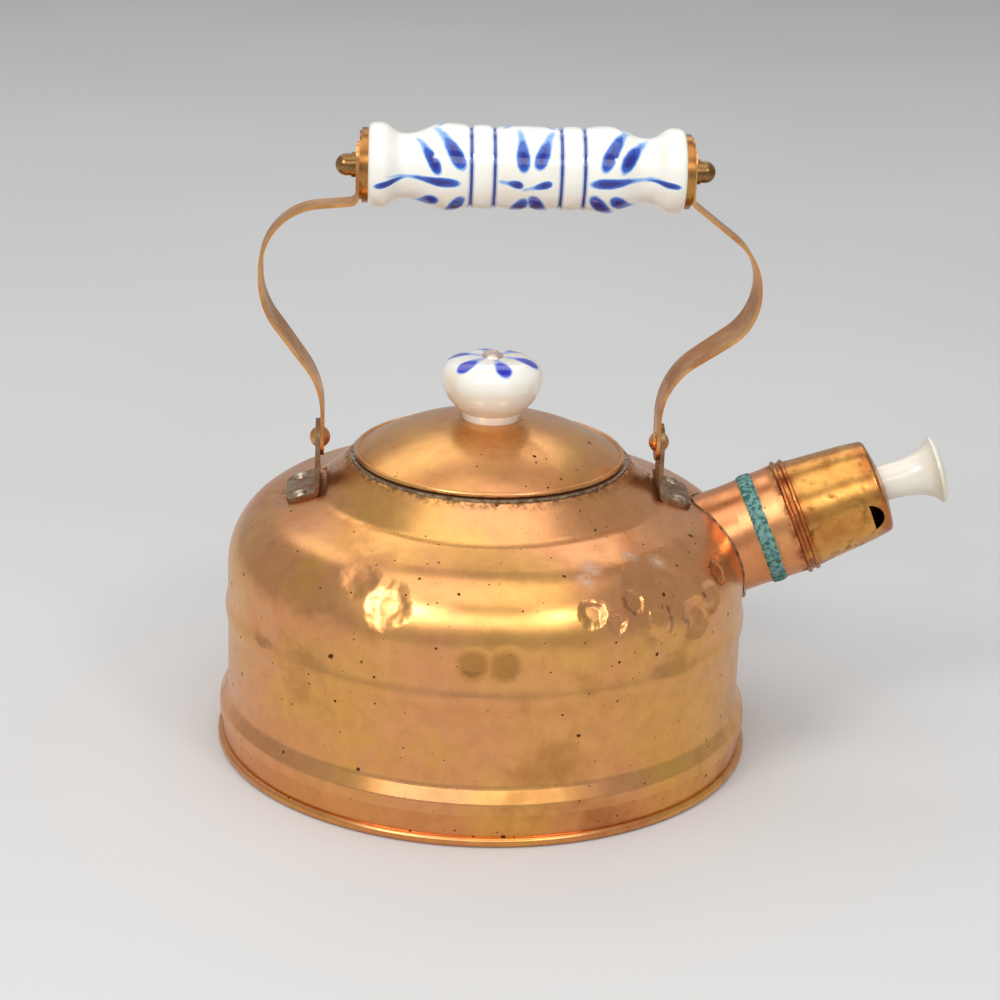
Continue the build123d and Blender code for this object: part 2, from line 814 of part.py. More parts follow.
# Spout root, trimmed where it is soldered to the shoulder
with BuildPart() as spout_root:
    with BuildSketch(spout_side):
        with BuildLine():
            places = (spout_root_start, 0, spout_seam_place)
            outside = [(place, spout_width(place)) for place in places]
            inside = [(place, radius - spout_sheet) for place, radius in outside]
            Polyline(*outside, *reversed(inside), close=True)
        make_face()
    revolve(axis=spout_axis)
    add(body_solid.part, mode=Mode.SUBTRACT)
    spout_pieces = spout_root.solids().sort_by(Axis.X)
spout_root_solid = spout_pieces[-1]
save(spout_root_solid, "spout_root")

# Soldered band round the joint between spout root and collar
with BuildPart() as spout_seam_ring:
    with BuildSketch(spout_side):
        with BuildLine():
            start, stop = spout_seam_place - seam_ring_width / 2, spout_seam_place + seam_ring_width / 2
            Line((start, spout_width(start)), (stop, spout_width(stop)))
            ThreePointArc(
                (start, spout_width(start)),
                (spout_seam_place, spout_width(spout_seam_place) + seam_ring_proud),
                (stop, spout_width(stop)),
            )
        make_face()
    revolve(axis=spout_axis)
save(spout_seam_ring.part, "spout_seam_ring")


def cap_inside(distance):
    """Inner radius of the whistle cap at a distance from its lip."""
    if distance < cap_crease_place:
        share = distance / cap_crease_place
        return cap_radius + (cap_crease_radius - cap_radius) * share - cap_sheet
    share = (distance - cap_crease_place) / (cap_length - cap_crease_place)
    return cap_crease_radius + (cap_end_radius - cap_crease_radius) * share - cap_sheet


# The cap's domed end is part of this ball
cap_ball = (cap_end_radius**2 + cap_dome_height**2) / (2 * cap_dome_height)


def end_place(radius, depth):
    """Distance from the cap's lip to its domed end, at a radius and at a depth in its sheet."""
    ball_centre = cap_length + cap_dome_height - cap_ball
    return ball_centre + math.sqrt((cap_ball - depth) ** 2 - radius**2)


# Spout collar, stepped down to the neck that the whistle cap grips
neck_base_radius = cap_inside(0) - slip_gap
neck_end_radius = cap_inside(neck_length) - slip_gap
with BuildPart() as spout_collar:
    with BuildSketch(spout_side):
        with BuildLine():
            mouth = spout_end - face_gap
            Polyline(
                (spout_seam_place, spout_width(spout_seam_place)),
                (mouth, spout_width(mouth)),
                (mouth, neck_base_radius),
                (mouth + neck_length, neck_end_radius),
                (mouth + neck_length, neck_end_radius - spout_sheet),
                (mouth - spout_sheet, neck_base_radius - spout_sheet),
                (mouth - spout_sheet, spout_width(mouth) - spout_sheet),
                (spout_seam_place, spout_width(spout_seam_place) - spout_sheet),
                close=True,
            )
        make_face()
    revolve(axis=spout_axis)
save(spout_collar.part, "spout_collar")

# Whistle cap: beaded lip, tapered barrel with a crease, domed end and steam hole
cap_plane = Plane(
    origin=spout_origin + spout_axis_dir * spout_end, x_dir=spout_axis_dir, z_dir=(0, -1, 0)
)
second_bead = cap_lip_width + cap_bead_space
dome_edge = cap_end_radius - cap_edge_radius
with BuildPart() as whistle_cap:
    with BuildSketch(cap_plane):
        with BuildLine():
            Polyline((0, cap_inside(0)), (0, cap_lip_radius - cap_lip_round))
            ThreePointArc(
                (0, cap_lip_radius - cap_lip_round),
                (cap_lip_width / 2, cap_lip_radius),
                (cap_lip_width, cap_radius + cap_bead_root),
            )
            Line((cap_lip_width, cap_radius + cap_bead_root), (second_bead, cap_radius + cap_bead_root))
            ThreePointArc(
                (second_bead, cap_radius + cap_bead_root),
                (second_bead + cap_lip_width / 2, cap_second_bead_radius),
                (second_bead + cap_lip_width, cap_inside(second_bead + cap_lip_width) + cap_sheet),
            )
            Polyline(
                (second_bead + cap_lip_width, cap_inside(second_bead + cap_lip_width) + cap_sheet),
                (cap_crease_place, cap_crease_radius),
                (cap_length - cap_edge_radius, cap_end_radius),
            )
            ThreePointArc(
                (cap_length - cap_edge_radius, cap_end_radius),
                (cap_length - cap_edge_radius * edge_share, cap_end_radius - cap_edge_radius * edge_share),
                (end_place(dome_edge, 0), dome_edge),
            )
            for depth in (0, cap_sheet):
                ThreePointArc(
                    (end_place(dome_edge, depth), dome_edge),
                    (end_place(dome_edge / 2, depth), dome_edge / 2),
                    (end_place(pull_screw_radius, depth), pull_screw_radius),
                )
            Line(
                (end_place(pull_screw_radius, 0), pull_screw_radius),
                (end_place(pull_screw_radius, cap_sheet), pull_screw_radius),
            )
            Polyline(
                (end_place(dome_edge, cap_sheet), dome_edge),
                (cap_length - cap_edge_radius, cap_end_radius - cap_sheet),
                (cap_crease_place, cap_inside(cap_crease_place)),
                (0, cap_inside(0)),
            )
        make_face()
    revolve(axis=spout_axis)
    # Half-moon steam hole, its straight edge towards the spout
    hole_turn = math.radians(steam_hole_turn)
    up_dir = Vector(-math.sin(spout_slope), 0, math.cos(spout_slope))
    out_dir = up_dir * math.cos(hole_turn) + Vector(0, -1, 0) * math.sin(hole_turn)
    hole_place = spout_end + cap_length - steam_hole_setback - steam_hole_depth
    hole_plane = Plane(
        origin=spout_origin + spout_axis_dir * hole_place, x_dir=spout_axis_dir, z_dir=out_dir
    )
    with BuildSketch(hole_plane):
        with BuildLine():
            Line((0, -steam_hole_length / 2), (0, steam_hole_length / 2))
            ThreePointArc(
                (0, steam_hole_length / 2),
                (steam_hole_depth, 0),
                (0, -steam_hole_length / 2),
            )
        make_face()
    extrude(amount=cap_radius + sheet, mode=Mode.SUBTRACT)
save(whistle_cap.part, "whistle_cap")

# Two whistle discs across the cap, each with a hole in its middle
for number, place in enumerate((disc_place, disc_place + disc_space), start=1):
    with BuildPart() as disc:
        with BuildSketch(cap_plane):
            with BuildLine():
                Polyline(
                    (place, disc_hole_radius),
                    (place, cap_inside(place)),
                    (place + disc_thickness, cap_inside(place + disc_thickness)),
                    (place + disc_thickness, disc_hole_radius),
                    close=True,
                )
            make_face()
        revolve(axis=spout_axis)
    save(disc.part, f"whistle_disc_{number}")

# Screw through the cap's end, its head inside the cap
with BuildPart() as pull_screw:
    with BuildSketch(cap_plane):
        with BuildLine():
            inner_face = end_place(pull_screw_head_radius, cap_sheet)
            screw_end = cap_length + cap_dome_height + pull_screw_reach
            Polyline(
                (inner_face - pull_screw_head_height, 0),
                (inner_face - pull_screw_head_height, pull_screw_head_radius),
                (inner_face, pull_screw_head_radius),
                (inner_face, pull_screw_radius),
                (screw_end, pull_screw_radius),
                (screw_end, 0),
                close=True,
            )
        make_face()
    revolve(axis=spout_axis)
save(pull_screw.part, "pull_screw")

# Porcelain pull on that screw, which leans down a little and is seated on the domed end
pull_slope = spout_slope - math.radians(pull_tilt)
pull_origin = spout_origin + spout_axis_dir * (spout_end + cap_length + cap_dome_height)
pull_dir = Vector(math.cos(pull_slope), 0, math.sin(pull_slope))
pull_plane = Plane(origin=pull_origin, x_dir=pull_dir, z_dir=(0, -1, 0))
with BuildPart() as whistle_pull:
    with BuildSketch(pull_plane):
        with BuildLine():
            rim = pull_length - pull_rim_width
            foot = -pull_foot_sink
            Polyline((0, 0), (foot, 0), (foot, pull_base_radius), (0, pull_base_radius))
            Spline(
                (0, pull_base_radius),
                (pull_length / 2, pull_waist_radius),
                (rim, pull_end_radius),
                tangents=[(1, 0), (0.55, 1)],
            )
            ThreePointArc(
                (rim, pull_end_radius),
                (
                    pull_length - pull_rim_width * edge_share,
                    pull_end_radius - pull_rim_width * edge_share,
                ),
                (pull_length, pull_end_radius - pull_rim_width),
            )
            face_radius = pull_end_radius - pull_rim_width
            across, up = dome_middle(face_radius, pull_face_dome)
            ThreePointArc(
                (pull_length, face_radius),
                (pull_length + up, across),
                (pull_length + pull_face_dome, 0),
            )
            Line((pull_length + pull_face_dome, 0), (0, 0))
        make_face()
    revolve(axis=Axis(pull_origin, pull_dir))
    with Locations(pull_origin - spout_axis_dir * cap_ball):
        Sphere(cap_ball, mode=Mode.SUBTRACT)
    add(pull_screw.part, mode=Mode.SUBTRACT)
save(whistle_pull.part, "whistle_pull")
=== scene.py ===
import math

import bpy
from mathutils import Matrix, Vector


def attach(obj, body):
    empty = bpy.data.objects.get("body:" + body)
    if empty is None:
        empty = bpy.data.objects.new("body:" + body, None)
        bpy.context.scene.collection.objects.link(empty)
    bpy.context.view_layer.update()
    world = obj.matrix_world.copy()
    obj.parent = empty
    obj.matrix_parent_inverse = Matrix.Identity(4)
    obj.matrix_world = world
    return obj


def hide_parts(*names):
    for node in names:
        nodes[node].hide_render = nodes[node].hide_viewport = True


# An old copper kettle in soft light. The frame is the CAD model's: metres, origin on the floor
# at the centre of the base, +Z up, spout along +X. Sizes below are in millimetres.
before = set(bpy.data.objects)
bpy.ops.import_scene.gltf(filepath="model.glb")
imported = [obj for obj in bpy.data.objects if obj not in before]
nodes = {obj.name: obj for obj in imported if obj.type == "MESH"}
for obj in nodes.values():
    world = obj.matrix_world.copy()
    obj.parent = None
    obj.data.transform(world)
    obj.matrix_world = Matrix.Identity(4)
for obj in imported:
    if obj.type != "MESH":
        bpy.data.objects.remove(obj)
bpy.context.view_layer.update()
mm = 0.001

# Sizes shared with the CAD model
wall_radius = 88.3
shoulder_radius = 24.6
shoulder_start = 63.0
crown_angle = 17.5
cone_foot_radius = 58.5
cone_foot_height = 90.4
mouth_edge_radius = 47.3
grip_height = 200.0
grip_shift = 9.0
grip_radius = 14.0
grip_grooves = (10.8, 18.3)
knob_top = 136.2
spout_angle = 22.5
spout_height = 74.0
spout_radius = 18.4
spout_seam_place = 6.6
spout_end = 16.6
cap_length = 32.0

spout_slope = math.radians(spout_angle)
spout_origin = Vector((wall_radius, 0, spout_height))
spout_axis = Vector((math.cos(spout_slope), 0, math.sin(spout_slope)))
spout_up = Vector((-math.sin(spout_slope), 0, math.cos(spout_slope)))
spout_turn = (0, math.pi / 2 - spout_slope, 0)


def tone(red, green, blue):
    """Colour given as levels from 0 to 255, as the linear values that Blender's sockets take."""

    def straight(level):
        share = level / 255
        return share / 12.92 if share <= 0.04045 else ((share + 0.055) / 1.055) ** 2.4

    return (straight(red), straight(green), straight(blue), 1)


def on_body(turn, height):
    """Point of the body's wall or shoulder: degrees round from the front to the spout, and height."""
    crown = math.radians(crown_angle)
    rise = max(height - shoulder_start, 0)
    if rise > shoulder_radius * math.cos(crown):
        radius = cone_foot_radius + (cone_foot_height - height) / math.tan(crown)
    else:
        radius = wall_radius - shoulder_radius + math.sqrt(shoulder_radius**2 - rise**2)
    angle = math.radians(turn)
    return Vector((radius * math.sin(angle), -radius * math.cos(angle), height)) * mm


def on_spout(distance, turn, radius):
    """Point at a distance along the spout's axis, turned from its top towards the front."""
    angle = math.radians(turn)
    out = spout_up * math.cos(angle) - Vector((0, 1, 0)) * math.sin(angle)
    return (spout_origin + spout_axis * distance + out * radius) * mm


class Finish:
    """One finish being mixed: its material, its shader, and short calls that add and join nodes."""

    def __init__(self, name, metal, gloss):
        self.material = bpy.data.materials.new(name)
        self.material.use_nodes = True
        self.tree = self.material.node_tree
        self.shader = self.tree.nodes["Principled BSDF"]
        self.shader.inputs["Metallic"].default_value = metal
        self.shader.inputs["Roughness"].default_value = gloss
        self.place = self.tree.nodes.new("ShaderNodeTexCoord").outputs["Object"]

    def join(self, source, socket):
        """Leads another node's output into a socket, or sets the socket to a fixed value."""
        if isinstance(source, bpy.types.NodeSocket):
            self.tree.links.new(source, socket)
        else:
            socket.default_value = source

    def set(self, socket, source):
        """Sets or feeds one of the shader's own sockets."""
        self.join(source, self.shader.inputs[socket])

    def math(self, operation, *values):
        """Result of one step of arithmetic."""
        node = self.tree.nodes.new("ShaderNodeMath")
        node.operation = operation
        for socket, value in zip(node.inputs, values):
            self.join(value, socket)
        return node.outputs[0]

    def times(self, value, factor):
        """Product of two values."""
        return self.math("MULTIPLY", value, factor)

    def vector(self, operation, *values):
        """Vector or number that one step of vector arithmetic gives."""
        node = self.tree.nodes.new("ShaderNodeVectorMath")
        node.operation = operation
        for socket, value in zip(node.inputs, values):
            self.join(value, socket)
        return node.outputs["Value" if operation in ("LENGTH", "DISTANCE", "DOT_PRODUCT") else "Vector"]

    def parts(self, vector):
        """The three numbers in a vector."""
        node = self.tree.nodes.new("ShaderNodeSeparateXYZ")
        self.join(vector, node.inputs[0])
        return node.outputs

    def pack(self, x, y, z=0.0):
        """Vector made of three numbers."""
        node = self.tree.nodes.new("ShaderNodeCombineXYZ")
        for socket, value in zip(node.inputs, (x, y, z)):
            self.join(value, socket)
        return node.outputs[0]

    def fade(self, value, start, stop, first=0.0, last=1.0):
        """Value that runs smoothly from one number to another between two limits."""
        node = self.tree.nodes.new("ShaderNodeMapRange")
        node.interpolation_type = "SMOOTHSTEP"
        for socket, setting in zip(node.inputs, (value, start, stop, first, last)):
            self.join(setting, socket)
        return node.outputs[0]

    def mix(self, share, first, second):
        """Two colours mixed by a share from 0 to 1."""
        node = self.tree.nodes.new("ShaderNodeMix")
        node.data_type = "RGBA"
        for index, value in ((0, share), (6, first), (7, second)):
            self.join(value, node.inputs[index])
        return node.outputs[2]

    def lay(self, colour, over, mask, share):
        """A colour with another laid over it where a mask is 1, at a share of its strength."""
        return self.mix(self.times(mask, share), colour, over)

    def noise(self, grain, detail=3.0, coarse=0.5, place=None, colour=False):
        """Cloudy pattern with patches of about this grain, in millimetres."""
        node = self.tree.nodes.new("ShaderNodeTexNoise")
        self.join(place or self.place, node.inputs["Vector"])
        node.inputs["Scale"].default_value = 1 / (grain * mm)
        node.inputs["Detail"].default_value = detail
        node.inputs["Roughness"].default_value = coarse
        return node.outputs[1 if colour else 0]

    def patches(self, grain, start, stop, detail=4.0, coarse=0.6, place=None):
        """Cloudy patches as a mask: 0 where the pattern is under the start, 1 past the stop."""
        return self.fade(self.noise(grain, detail, coarse, place), start, stop)

    def waves(self, *layers):
        """Height of an uneven surface: each layer's grain and height in millimetres, and its detail."""
        heights = [self.times(self.noise(grain, detail), height) for grain, height, detail in layers]
        return self.total(*heights)

    def shaken(self, grain, reach, place=None):
        """The place on the piece, pushed about by a cloudy pattern, which makes edges uneven."""
        cloud = self.noise(grain, 2.0, 0.5, place, colour=True)
        centred = self.vector("SUBTRACT", cloud, (0.5, 0.5, 0.5))
        pushed = self.vector("MULTIPLY", centred, (reach * mm,) * 3)
        return self.vector("ADD", place or self.place, pushed)

    def specks(self, spacing, size, share, place=None):
        """Scattered spots: their spacing and size in millimetres, and the share of them kept."""
        node = self.tree.nodes.new("ShaderNodeTexVoronoi")
        self.join(place or self.place, node.inputs["Vector"])
        node.inputs["Scale"].default_value = 1 / (spacing * mm)
        split = self.tree.nodes.new("ShaderNodeSeparateColor")
        self.join(node.outputs["Color"], split.inputs[0])
        kept = self.math("LESS_THAN", split.outputs[0], share)
        reach = self.times(split.outputs[1], size / spacing / 2)
        inside = self.math("DIVIDE", node.outputs["Distance"], self.math("ADD", reach, 1e-4))
        return self.times(kept, self.fade(inside, 1.0, 0.6))

    def near(self, point, reach, place=None, edge=1.0):
        """1 at a point of the piece, 0 past this distance in millimetres; the edge's share of it fades."""
        away = self.vector("DISTANCE", place or self.place, tuple(point))
        return self.fade(away, (1 - edge) * reach * mm, reach * mm, 1.0, 0.0)

    def on_body(self, marks, place, edge=1.0):
        """Mask of marks on the body: degrees round from the front, height, and reach across."""
        spots = [self.near(on_body(turn, height), reach, place, edge) for turn, height, reach in marks]
        return self.either(*spots)

    def along_spout(self):
        """Distance from the spout's origin along its axis, in metres."""
        offset = self.vector("SUBTRACT", self.place, tuple(spout_origin * mm))
        return self.vector("DOT_PRODUCT", offset, tuple(spout_axis))

    def either(self, *masks):
        """The strongest of several masks."""
        strongest = masks[0]
        for mask in masks[1:]:
            strongest = self.math("MAXIMUM", strongest, mask)
        return strongest

    def total(self, *heights):
        """Sum of several values."""
        result = heights[0]
        for height in heights[1:]:
            result = self.math("ADD", result, height)
        return result

    def relief(self, height):
        """Shapes the surface's shading by a height in millimetres."""
        node = self.tree.nodes.new("ShaderNodeBump")
        node.inputs["Strength"].default_value = 1.0
        node.inputs["Distance"].default_value = mm
        self.join(height, node.inputs["Height"])
        self.set("Normal", node.outputs[0])

    def close(self, colour, gloss, height):
        """Feeds the shader and hands back the material."""
        self.set("Base Color", colour)
        self.set("Roughness", gloss)
        self.relief(height)
        return self.material


# Tones of the metals and of what has settled on them
copper_warm = tone(230, 162, 108)
copper_gold = tone(231, 172, 98)
copper_brown = tone(164, 102, 58)
copper_bare = tone(176, 100, 56)
burnt_gold = tone(228, 174, 74)
painted_reflection_brown = tone(150, 98, 44)
pit_brown = tone(58, 34, 20)
stain_pale = tone(214, 190, 170)
grime_and_shade = tone(74, 56, 38)
seam_green = tone(96, 120, 92)
lip_brown = tone(88, 48, 28)

# Pits in copper sheet: spacing, size and the share of them kept
large_pits = (6.4, 2.0, 0.6)
middle_pits = (3.3, 1.05, 0.5)
small_pits = (2.0, 0.6, 0.3)


def copper_layers(finish, warm=copper_warm, gold=copper_gold, brown=copper_brown, browning=0.5):
    """Colour, gloss, relief and pits of worn copper sheet, before a piece's own marks."""
    film_share = 0.22
    polish = 0.17
    pit_depth = 0.05
    colour = finish.mix(finish.patches(52, 0.42, 0.62, 3, 0.55), warm, gold)
    browned = finish.patches(31, 0.52, 0.74, 5, place=finish.shaken(20, 12))
    colour = finish.lay(colour, brown, browned, browning)
    film = finish.patches(6, 0.3, 0.75, coarse=0.65)
    colour = finish.lay(colour, brown, film, film_share)
    uneven = finish.shaken(2.4, 0.9)
    pits = finish.either(
        finish.specks(*large_pits, uneven),
        finish.specks(*middle_pits, uneven),
        finish.times(finish.specks(*small_pits, uneven), 0.8),
    )
    gloss = finish.total(
        finish.times(finish.noise(18, 4, 0.6), 0.22),
        finish.times(browned, 0.14),
        finish.times(pits, 0.4),
        polish,
    )
    height = finish.total(
        finish.waves((62, 1.5, 1), (17, 0.16, 2), (1.3, 0.004, 2)),
        finish.times(pits, -pit_depth),
    )
    return colour, gloss, height, pits


def close_copper(finish, colour, gloss, height, pits):
    """Darkens the pits of a copper finish and closes it."""
    return finish.close(finish.lay(colour, pit_brown, pits, 0.9), gloss, height)


# Dents in the body: degrees round from the front, height, reach across, depth and the edge's share
body_dents = (
    (42, 72, 23, 2.6, 0.7),
    (37, 70, 6.5, -1.1, 0.6),
    (31, 77, 5.0, 1.0, 0.5),
    (26, 72, 4.0, 0.7, 0.6),
    (20.5, 76, 5.5, 0.9, 0.6),
    (48, 66, 8, 1.3, 0.5),
    (55, 71, 6, 1.1, 0.5),
    (61, 76, 5, 0.8, 0.5),
    (-24, 77, 9, 0.9, 0.7),
    (-44, 66, 17, 1.3, 0.8),
    (-57, 58, 9, 0.9, 0.7),
    (2, 62, 7, 0.6, 0.7),
    (-5, 62, 6, 0.5, 0.7),
    (-33, 82, 8, 0.6, 0.8),
    (150, 60, 16, 1.4, 0.8),
    (-130, 74, 13, 1.2, 0.7),
)
# Marks on the body: degrees round from the front, height, and reach across. They are painted dark
# reflections in the two shallow dents at the front, pale lime stains, golden burns and single large pits.
body_painted_reflections = ((1.5, 61.5, 6.5), (-5, 61.5, 6.5))
body_stains = ((24.5, 86, 5.5), (21.5, 84, 4.5), (37.5, 86.5, 4.5), (43.5, 84.5, 5.0))
body_burns = ((-36, 35, 20), (-30, 24, 24), (-48, 80, 18), (-12, 30, 15), (40, 20, 16), (120, 40, 30))
body_pits = ((3.8, 91.6, 1.9), (63, 85.5, 1.3), (27, 91, 1.1), (19.5, 50.5, 1.2), (-36, 57, 1.6))
# Grime and painted shade on the body: its width at the mouth's edge, and its middle and reach round each
# ear's foot
mouth_grime_and_shade_width = 3.2
ear_grime_and_shade_place = (64.0, 0, 90.0)
ear_grime_and_shade_reach = 21.0


def body_copper():
    """The body's copper: dented, pitted, stained with lime and burnt golden near the base."""
    finish = Finish("body_copper", 1.0, 0.28)
    colour, gloss, height, pits = copper_layers(finish)
    soft = finish.shaken(7, 4)
    torn = finish.shaken(3, 2.4)

    burns = finish.times(finish.on_body(body_burns, soft), finish.patches(11, 0.35, 0.6))
    colour = finish.lay(colour, burnt_gold, burns, 0.5)

    stains = finish.times(finish.on_body(body_stains, torn), finish.patches(1.6, 0.3, 0.6, 3, 0.7))
    colour = finish.lay(colour, stain_pale, stains, 0.8)
    gloss = finish.total(gloss, finish.times(stains, 0.3))

    x, y, z = finish.parts(finish.place)
    radius = finish.vector("LENGTH", finish.pack(x, y))
    at_mouth = finish.fade(radius, (mouth_edge_radius + mouth_grime_and_shade_width) * mm, mouth_edge_radius * mm)
    both_sides = finish.pack(finish.math("ABSOLUTE", x), y, z)
    at_ears = finish.near(Vector(ear_grime_and_shade_place) * mm, ear_grime_and_shade_reach, both_sides)
    # Darker at the mouth's edge and round each ear's foot: painted shade where the parts meet, mixed with
    # speckled grime
    dirt = finish.times(finish.either(at_mouth, at_ears), finish.patches(2.2, 0.38, 0.62, coarse=0.7))
    colour = finish.lay(colour, grime_and_shade, dirt, 0.75)
    gloss = finish.total(gloss, finish.times(dirt, 0.35))

    # Painted dark reflections: brown ovals laid into the colour of the two shallow dents at the front
    colour = finish.lay(colour, painted_reflection_brown, finish.on_body(body_painted_reflections, torn, 0.5), 0.55)
    for turn, level, reach, depth, edge in body_dents:
        bowl = finish.near(on_body(turn, level), reach, finish.shaken(reach, reach * 0.7), edge)
        height = finish.total(height, finish.times(bowl, -depth))
    pits = finish.either(pits, finish.fade(finish.on_body(body_pits, torn), 0.15, 0.4))
    return close_copper(finish, colour, gloss, height, pits)


def sheet_copper(name, warm, gold, brown):
    """Copper of a smaller pressed or turned piece."""
    browning = 0.6
    finish = Finish(name, 1.0, 0.3)
    return close_copper(finish, *copper_layers(finish, warm, gold, brown, browning))


def spout_copper():
    """The spout's copper, paler and pinker where it was soldered, dirty along its seams."""
    green_reach = (4.2, 1.6)
    lip_width = 3.5
    finish = Finish("spout_copper", 1.0, 0.3)
    colour, gloss, height, pits = copper_layers(finish, tone(228, 152, 100), tone(234, 168, 110))
    place = finish.along_spout()
    seam = finish.math("ABSOLUTE", finish.math("SUBTRACT", place, spout_seam_place * mm))
    green = finish.fade(seam, green_reach[0] * mm, green_reach[1] * mm)
    green = finish.times(green, finish.patches(1.8, 0.42, 0.6, coarse=0.7))
    colour = finish.lay(colour, seam_green, green, 0.8)
    lip = finish.fade(place, (spout_end - lip_width) * mm, spout_end * mm)
    lip = finish.times(lip, finish.patches(4, 0.35, 0.6, coarse=0.7))
    colour = finish.lay(colour, lip_brown, lip, 0.7)
    gloss = finish.total(gloss, finish.times(finish.either(green, lip), 0.3))
    return close_copper(finish, colour, gloss, height, pits)


def strap_copper():
    """Brown, hand-rubbed copper strip with fine marks and a brighter worn film."""
    finish = Finish("strap_copper", 1.0, 0.38)
    worn = finish.patches(15, 0.38, 0.66)
    colour = finish.mix(worn, tone(190, 132, 82), tone(228, 172, 110))
    spots = finish.specks(3.4, 0.8, 0.3, finish.shaken(2, 0.8))
    colour = finish.lay(colour, tone(80, 48, 30), spots, 0.6)
    gloss = finish.total(finish.times(worn, -0.12), 0.46)
    drawn_out = finish.vector("MULTIPLY", finish.place, (0.2, 1.0, 0.2))
    scratches = finish.times(finish.noise(0.7, 3, 0.6, drawn_out), 0.008)
    return finish.close(colour, gloss, finish.total(finish.waves((9, 0.12, 2)), scratches))


def dull_copper():
    """Oxidised grey-brown copper of the ears, with greenish dirt."""
    finish = Finish("dull_copper", 0.85, 0.5)
    aged = finish.patches(6, 0.36, 0.64, 5, 0.65)
    colour = finish.mix(aged, tone(150, 128, 100), tone(128, 84, 56))
    green = finish.patches(2.4, 0.56, 0.7, coarse=0.7)
    colour = finish.lay(colour, tone(96, 104, 82), green, 0.6)
    dark = finish.specks(1.9, 0.8, 0.3, finish.shaken(1.2, 0.6))
    colour = finish.mix(dark, colour, tone(56, 44, 34))
    gloss = finish.fade(finish.noise(3, 3, 0.6), 0.3, 0.7, 0.36, 0.66)
    return finish.close(colour, gloss, finish.total(finish.waves((4, 0.1, 3)), finish.times(dark, -0.05)))


def rubbed_brass(name, bright, dull, dark, stain_share):
    """Tarnished brass with brown stains and fine pits."""
    finish = Finish(name, 1.0, 0.32)
    colour = finish.mix(finish.patches(14, 0.36, 0.66), bright, dull)
    stained = finish.patches(7, 0.53, 0.7, 5, 0.68, finish.shaken(9, 6))
    colour = finish.lay(colour, dark, stained, stain_share)
    pits = finish.specks(3.1, 0.7, 0.25, finish.shaken(1.5, 0.6))
    colour = finish.lay(colour, pit_brown, pits, 0.8)
    gloss = finish.total(finish.times(stained, 0.2), 0.26)
    height = finish.total(finish.waves((20, 0.25, 2), (1.1, 0.004, 2)), finish.times(pits, -0.03))
    return finish.close(colour, gloss, height)


def barrel_brass():
    """Brass of the whistle cap, rubbed through to copper at its lip and its end."""
    lip_reach = (6.5, 4.0)
    end_reach = (7.0, 1.0)
    cap_end = spout_end + cap_length
    finish = Finish("barrel_brass", 1.0, 0.3)
    colour = finish.mix(finish.patches(13, 0.38, 0.64), tone(222, 162, 84), tone(194, 130, 66))
    place = finish.along_spout()
    lip = finish.fade(place, (spout_end + lip_reach[0]) * mm, (spout_end + lip_reach[1]) * mm)
    end = finish.fade(place, (cap_end - end_reach[0]) * mm, (cap_end - end_reach[1]) * mm)
    worn = finish.either(lip, finish.times(end, 0.8))
    worn = finish.times(worn, finish.patches(5, 0.3, 0.55))
    colour = finish.mix(worn, colour, copper_bare)
    stained = finish.patches(8, 0.52, 0.68, 5, 0.68, finish.shaken(9, 7))
    colour = finish.lay(colour, tone(112, 68, 34), stained, 0.7)
    dust = finish.specks(1.7, 0.5, 0.3, finish.shaken(1.5, 0.6))
    pits = finish.either(dust, finish.specks(6.5, 1.1, 0.3, finish.shaken(2, 0.8)))
    colour = finish.lay(colour, pit_brown, pits, 0.85)
    gloss = finish.total(finish.times(stained, 0.2), 0.25)
    height = finish.total(finish.waves((24, 0.5, 2), (1.2, 0.004, 2)), finish.times(pits, -0.04))
    return finish.close(colour, gloss, height)


def tinned_metal(name, pale, dark, gloss):
    """Worn tin or nickel over metal, with dark dirt in its marks."""
    finish = Finish(name, 1.0, gloss)
    aged = finish.patches(3.5, 0.38, 0.66, coarse=0.65)
    dulled = finish.total(finish.times(aged, 0.25), gloss)
    return finish.close(finish.mix(aged, pale, dark), dulled, finish.waves((2.5, 0.06, 3), (0.6, 0.01, 2)))


def verdigris():
    """Green crust of copper salts, powdery, with blue-grey and brown grains."""
    powdery = 0.92
    finish = Finish("verdigris", 0.0, powdery)
    pale = finish.patches(1.6, 0.38, 0.62, coarse=0.7)
    colour = finish.mix(pale, tone(46, 92, 86), tone(118, 166, 156))
    grey = finish.patches(5, 0.5, 0.68, 3)
    colour = finish.lay(colour, tone(120, 148, 162), grey, 0.7)
    brown = finish.specks(1.5, 0.9, 0.34, finish.shaken(0.9, 0.6))
    colour = finish.lay(colour, tone(84, 66, 48), brown, 0.8)
    lumps = finish.times(finish.noise(0.9, 4, 0.7), 0.5)
    return finish.close(colour, powdery, finish.total(lumps, finish.waves((0.35, 0.12, 2))))


# Porcelain: white glaze, and hand-painted strokes in cobalt blue
glaze_white = tone(240, 237, 227)
glaze_cream = tone(233, 225, 204)
glaze_speck = tone(150, 128, 96)
cobalt_deep = tone(26, 36, 126)
cobalt = tone(44, 84, 182)
cobalt_wash = tone(132, 176, 228)
groove_wash = tone(128, 152, 206)
groove_blue = tone(66, 86, 158)
petal_deep = tone(30, 34, 168)
petal_blue = tone(40, 52, 190)
petal_wash = tone(150, 168, 226)


def glaze(finish, white, cream):
    """Glazed porcelain's colour: white with cream clouds and a few tiny brown specks."""
    colour = finish.mix(finish.patches(16, 0.4, 0.7, 3, 0.5), white, cream)
    finish.shader.inputs["Coat Weight"].default_value = 0.5
    finish.shader.inputs["Coat Roughness"].default_value = 0.05
    finish.relief(finish.waves((7, 0.08, 2)))
    return finish.lay(colour, glaze_speck, finish.specks(7, 0.5, 0.14), 0.6)


